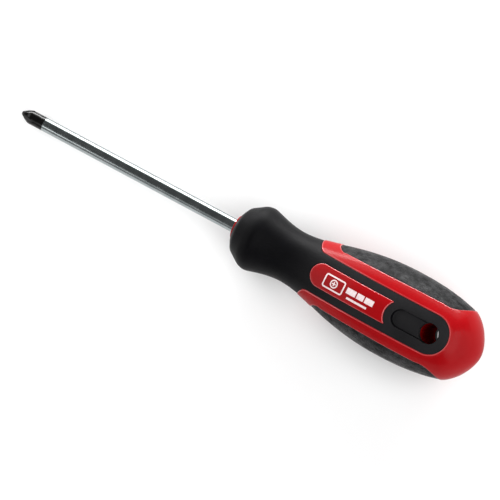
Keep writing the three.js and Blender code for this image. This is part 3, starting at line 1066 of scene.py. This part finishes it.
def soft_black():
    """Matte soft-touch material with a fine moulded grain, its colour painted paler towards the
    rear as painted light, and darker on the pockets' walls as painted shade.
    """
    material, tree, shader = new_material("soft_black")
    cloud = object_noise(tree, 90, detail=4)
    grain = object_noise(tree, 2400, detail=4)
    share = ranged(tree, cloud, 0, 1)
    # The darker colour, used at the front of the grip and as painted shade on the pockets' walls.
    shaded_black = mixed(tree, share, (0.0008, 0.0008, 0.0012), (0.0018, 0.0017, 0.0024))
    lit_black = mixed(tree, share, (0.0085, 0.0083, 0.0090), (0.0130, 0.0126, 0.0135))
    # Painted light: along the grip the colour turns paler towards the rear, as if more light fell
    # there.
    place = add_node(tree, "ShaderNodeTexCoord")
    split = add_node(tree, "ShaderNodeSeparateXYZ")
    tree.links.new(place.outputs["Object"], split.inputs["Vector"])
    start, end = -EXPOSED_LENGTH - PAINTED_LIGHT_FROM, -EXPOSED_LENGTH - PAINTED_LIGHT_FULLY
    lit_towards_rear = ranged(tree, split.outputs["X"], 0, 1, start * MM, end * MM)
    lengthwise_black = mixed(tree, lit_towards_rear, shaded_black, lit_black)
    # Painted shade: the marked pockets' walls take the darker colour and lose their specular.
    wall = point_mark(tree, 0, 1)
    colour = mixed(tree, wall, lengthwise_black, shaded_black)
    feed(tree, shader, Base_Color=colour, Roughness=ranged(tree, cloud, 0.44, 0.54))
    feed(tree, shader, Specular_IOR_Level=ranged(tree, wall, 0.06, 0.0, 0, 1))
    feed(tree, shader, Sheen_Weight=0.03, Sheen_Roughness=0.35)
    bumped(tree, shader, grain, 0.00006, 0.8)
    return material


def pad_rubber():
    """The side pads: coarser grained than the grip, blotched with dust and shine from handling."""
    material, tree, shader = new_material("pad_rubber")
    dust = object_noise(tree, 420, detail=6, roughness=0.7)
    shine = object_noise(tree, 170, detail=5, roughness=0.65)
    grain = object_noise(tree, 2600, detail=4)
    share = ranged(tree, dust, 0, 1, 0.40, 0.62)
    colour = mixed(tree, share, (0.0006, 0.0006, 0.0008), (0.021, 0.021, 0.022))
    feed(tree, shader, Base_Color=colour, Roughness=ranged(tree, shine, 0.58, 0.30, 0.36, 0.62))
    feed(tree, shader, Specular_IOR_Level=0.06, Sheen_Weight=0.02, Sheen_Roughness=0.4)
    fine = bumped(tree, shader, grain, 0.00006, 0.7)
    bumped(tree, shader, dust, 0.0003, 0.9, under=fine)
    return material


def print_ink():
    """Pad-printed white ink, thin enough for the red to tint it."""
    material, tree, shader = new_material("print_ink")
    cover = object_noise(tree, 1400, detail=4)
    colour = mixed(tree, ranged(tree, cover, 0, 1), (0.64, 0.48, 0.49), (0.78, 0.68, 0.68))
    feed(tree, shader, Base_Color=colour, Roughness=ranged(tree, cover, 0.42, 0.55))
    return material


def natural_plastic():
    """The unseen core: natural plastic with a drift in its tone."""
    material, tree, shader = new_material("natural_plastic")
    drift = object_noise(tree, 120, detail=3)
    colour = mixed(tree, ranged(tree, drift, 0, 1), (0.55, 0.50, 0.38), (0.64, 0.59, 0.46))
    feed(tree, shader, Base_Color=colour, Roughness=ranged(tree, drift, 0.5, 0.65))
    return material


def pale_floor():
    material, tree, shader = new_material("pale_floor")
    tone = object_noise(tree, 6, detail=2)
    colour = mixed(tree, ranged(tree, tone, 0, 1), (0.80, 0.80, 0.80), (0.82, 0.82, 0.82))
    feed(tree, shader, Base_Color=colour, Roughness=0.9)
    return material


# ---------------------------------------------------------------- camera, floor and light


def view_axes():
    """The row frame's axes as seen from the camera: right, up and towards it."""
    across, down = math.cos(BLADE_SLOPE), math.sin(BLADE_SLOPE)
    flat, near = math.cos(HANDLE_TOWARDS), math.sin(HANDLE_TOWARDS)
    to_handle = Vector((flat * across, -flat * down, near))
    face = Vector((-near * across, near * down, flat))
    below = Vector((-down, -across, 0))
    side_y = below * math.cos(HANDLE_ROLL) - face * math.sin(HANDLE_ROLL)
    side_z = face * math.cos(HANDLE_ROLL) + below * math.sin(HANDLE_ROLL)
    return Matrix((-to_handle, side_y, side_z))  # its rows take the camera's axes to the row's


VIEW = view_axes()


def from_view(right, up, towards):
    """A point in metres, from millimetres right of, above and in front of the handle's nose."""
    nose = Vector((-EXPOSED_LENGTH, 0, 0))
    return (nose + VIEW @ Vector((right, up, towards))) * MM


def make_camera():
    data = bpy.data.cameras.new("camera")
    data.lens = LENS
    data.sensor_width = SENSOR
    data.clip_start = 0.05
    data.clip_end = 50
    camera = bpy.data.objects.new("camera", data)
    bpy.context.scene.collection.objects.link(camera)
    place = from_view(-NOSE_IN_VIEW[0], -NOSE_IN_VIEW[1], VIEW_DISTANCE)
    camera.matrix_world = Matrix.Translation(place) @ VIEW.to_4x4()
    bpy.context.scene.camera = camera


def make_light(name, place, size, watts, aim=(0, 0, 0)):
    """A rectangle of light at a place in the view, aimed at another. Its sides are in metres."""
    data = bpy.data.lights.new(name, "AREA")
    data.shape = "RECTANGLE"
    data.size, data.size_y = size
    data.energy = watts
    light = bpy.data.objects.new(name, data)
    bpy.context.scene.collection.objects.link(light)
    at, target = from_view(*place), from_view(*aim)
    turn = (target - at).to_track_quat("-Z", "Y").to_matrix().to_4x4()
    light.matrix_world = Matrix.Translation(at) @ turn


def make_floor(material):
    """A wide floor that the belly and the bell rest on."""
    crest = (BELL_SHOULDER[0] + BELL_CREST_END[0]) / 2
    rise = (BELLY[1] - radius_at(along_at(crest))) / (BELLY[0] - crest)
    tilt = math.asin(rise)
    belly_x = -(EXPOSED_LENGTH + BELLY[0])
    reach = FLOOR_REACH * MM
    mesh = bpy.data.meshes.new("floor")
    corners = [(-reach, -reach, 0), (reach, -reach, 0), (reach, reach, 0), (-reach, reach, 0)]
    mesh.from_pydata(corners, [], [(0, 1, 2, 3)])
    floor = bpy.data.objects.new("floor", mesh)
    bpy.context.scene.collection.objects.link(floor)
    mesh.materials.append(material)
    height = -(BELLY[1] + PROUD + FLOOR_GAP)
    place = Matrix.Translation(Vector((belly_x, 0, height)) * MM)
    lie = Matrix.Rotation(FLOOR_ROLL, 4, "X")
    floor.matrix_world = lie @ place @ Matrix.Rotation(-tilt, 4, "Y")


def make_world(strength):
    world = bpy.data.worlds.new("studio")
    world.use_nodes = True
    background = world.node_tree.nodes["Background"]
    background.inputs["Color"].default_value = (1, 1, 1, 1)
    background.inputs["Strength"].default_value = strength
    bpy.context.scene.world = world
    bpy.context.scene.view_settings.view_transform = "Standard"


# ---------------------------------------------------------------- everything together

make_camera()
make_world(0.12)
make_light("far_strip", (60, 1200, -130), size=(1.8, 0.32), watts=45)
make_light("top_panel", (60, 1180, 230), size=(1.8, 0.38), watts=5)
make_light("rear_panel", (1050, -650, 850), size=(2.4, 2.2), watts=30)
make_light("left_panel", (-1275, 450, 675), size=(2.4, 1.0), watts=17)
make_light("front_panel", (700, -400, 2050), size=(2.6, 2.6), watts=38)
make_light("low_panel", (-1100, -800, 630), size=(1.0, 0.8), watts=0.9)
make_floor(pale_floor())

red = red_shell(glossy_red())
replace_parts(red, "handle_shell")
grip = soft_grip(soft_black())
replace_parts(grip, "front_grip")
rubber = pad_rubber()
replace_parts(side_pad("side_pad_left", 1, rubber), "left_pad")
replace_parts(side_pad("side_pad_right", -1, rubber), "right_pad")
face_print(print_ink())
blade(plated_steel(), black_finish())
core_plastic = natural_plastic()
for material_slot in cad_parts["inner_core"].material_slots:
    material_slot.material = core_plastic
